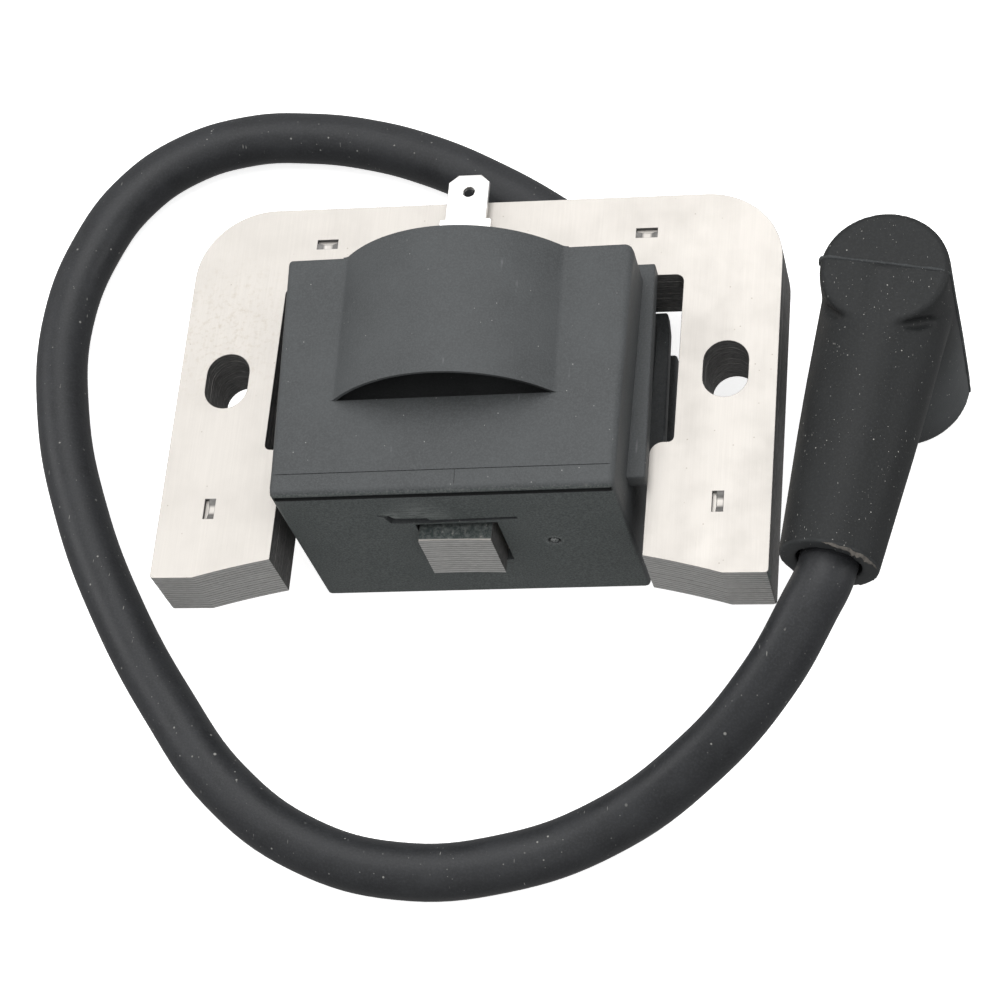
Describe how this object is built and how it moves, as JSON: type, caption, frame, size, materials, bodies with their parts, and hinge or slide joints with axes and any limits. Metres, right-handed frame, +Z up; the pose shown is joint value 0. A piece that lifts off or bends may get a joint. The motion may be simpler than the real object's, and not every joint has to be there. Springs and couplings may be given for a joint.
{
  "type": "ignition coil",
  "caption": "Flywheel ignition coil module: E-shaped laminated core with slotted legs, potted black housing with a domed top, spade terminal, and a rubber lead with a right-angle plug boot",
  "frame": {"origin": "midway between the two mounting slots, on the core's lower face", "axes": "+X along the core's width through both slots, +Y from the pole feet to the yoke, +Z up from the lower face to the upper face of the core"},
  "size_m": [0.1476, 0.1335, 0.0408],
  "materials": {
    "core_steel": "satin",
    "housing_plastic": "fine texture",
    "potting_resin": "satin",
    "bobbin_plastic": "matte",
    "copper_wire": "enamelled",
    "board_laminate": "solder mask",
    "capacitor_case": "gloss",
    "component_case": "matte",
    "resistor_body": "matte",
    "tinned_metal": "tinned",
    "terminal_brass": "plain",
    "wire_cover": "smooth",
    "lead_rubber": "smooth",
    "boot_rubber": "matte",
    "spring_steel": "plain"
  },
  "bodies": {
    "module": {"lamination_01": "core_steel", "lamination_02": "core_steel", "lamination_03": "core_steel", "lamination_04": "core_steel", "lamination_05": "core_steel", "lamination_06": "core_steel", "lamination_07": "core_steel", "lamination_08": "core_steel", "lamination_09": "core_steel", "lamination_10": "core_steel", "lamination_11": "core_steel", "lamination_12": "core_steel", "lamination_13": "core_steel", "lamination_14": "core_steel", "lamination_15": "core_steel", "lamination_16": "core_steel", "coil_housing": "housing_plastic", "potting_compound": "potting_resin", "coil_bobbin": "bobbin_plastic", "charge_winding": "copper_wire", "primary_winding": "copper_wire", "secondary_bobbin": "bobbin_plastic", "secondary_winding": "copper_wire", "circuit_board": "board_laminate", "energy_capacitor": "capacitor_case", "trigger_capacitor": "resistor_body", "thyristor": "component_case", "diodes": "component_case", "resistors": "resistor_body", "spade_terminal": "tinned_metal", "stop_wire": "wire_cover", "ground_pin": "terminal_brass", "high_tension_terminal": "terminal_brass", "high_tension_link": "copper_wire", "lead_core_inner_end": "copper_wire", "high_tension_lead": "lead_rubber"},
    "boot": {"plug_boot": "boot_rubber", "plug_clip": "spring_steel", "clip_spike": "spring_steel", "lead_end_sleeve": "lead_rubber", "lead_core_outer_end": "copper_wire"}
  },
  "joints": [
    {"name": "boot_swivel", "type": "hinge", "parent": "module", "child": "boot", "pos_m": [0.05371, -0.03336, 0.0152], "axis": [-0.1736, -0.9848, 0], "range_deg": [0, 180]}
  ]
}
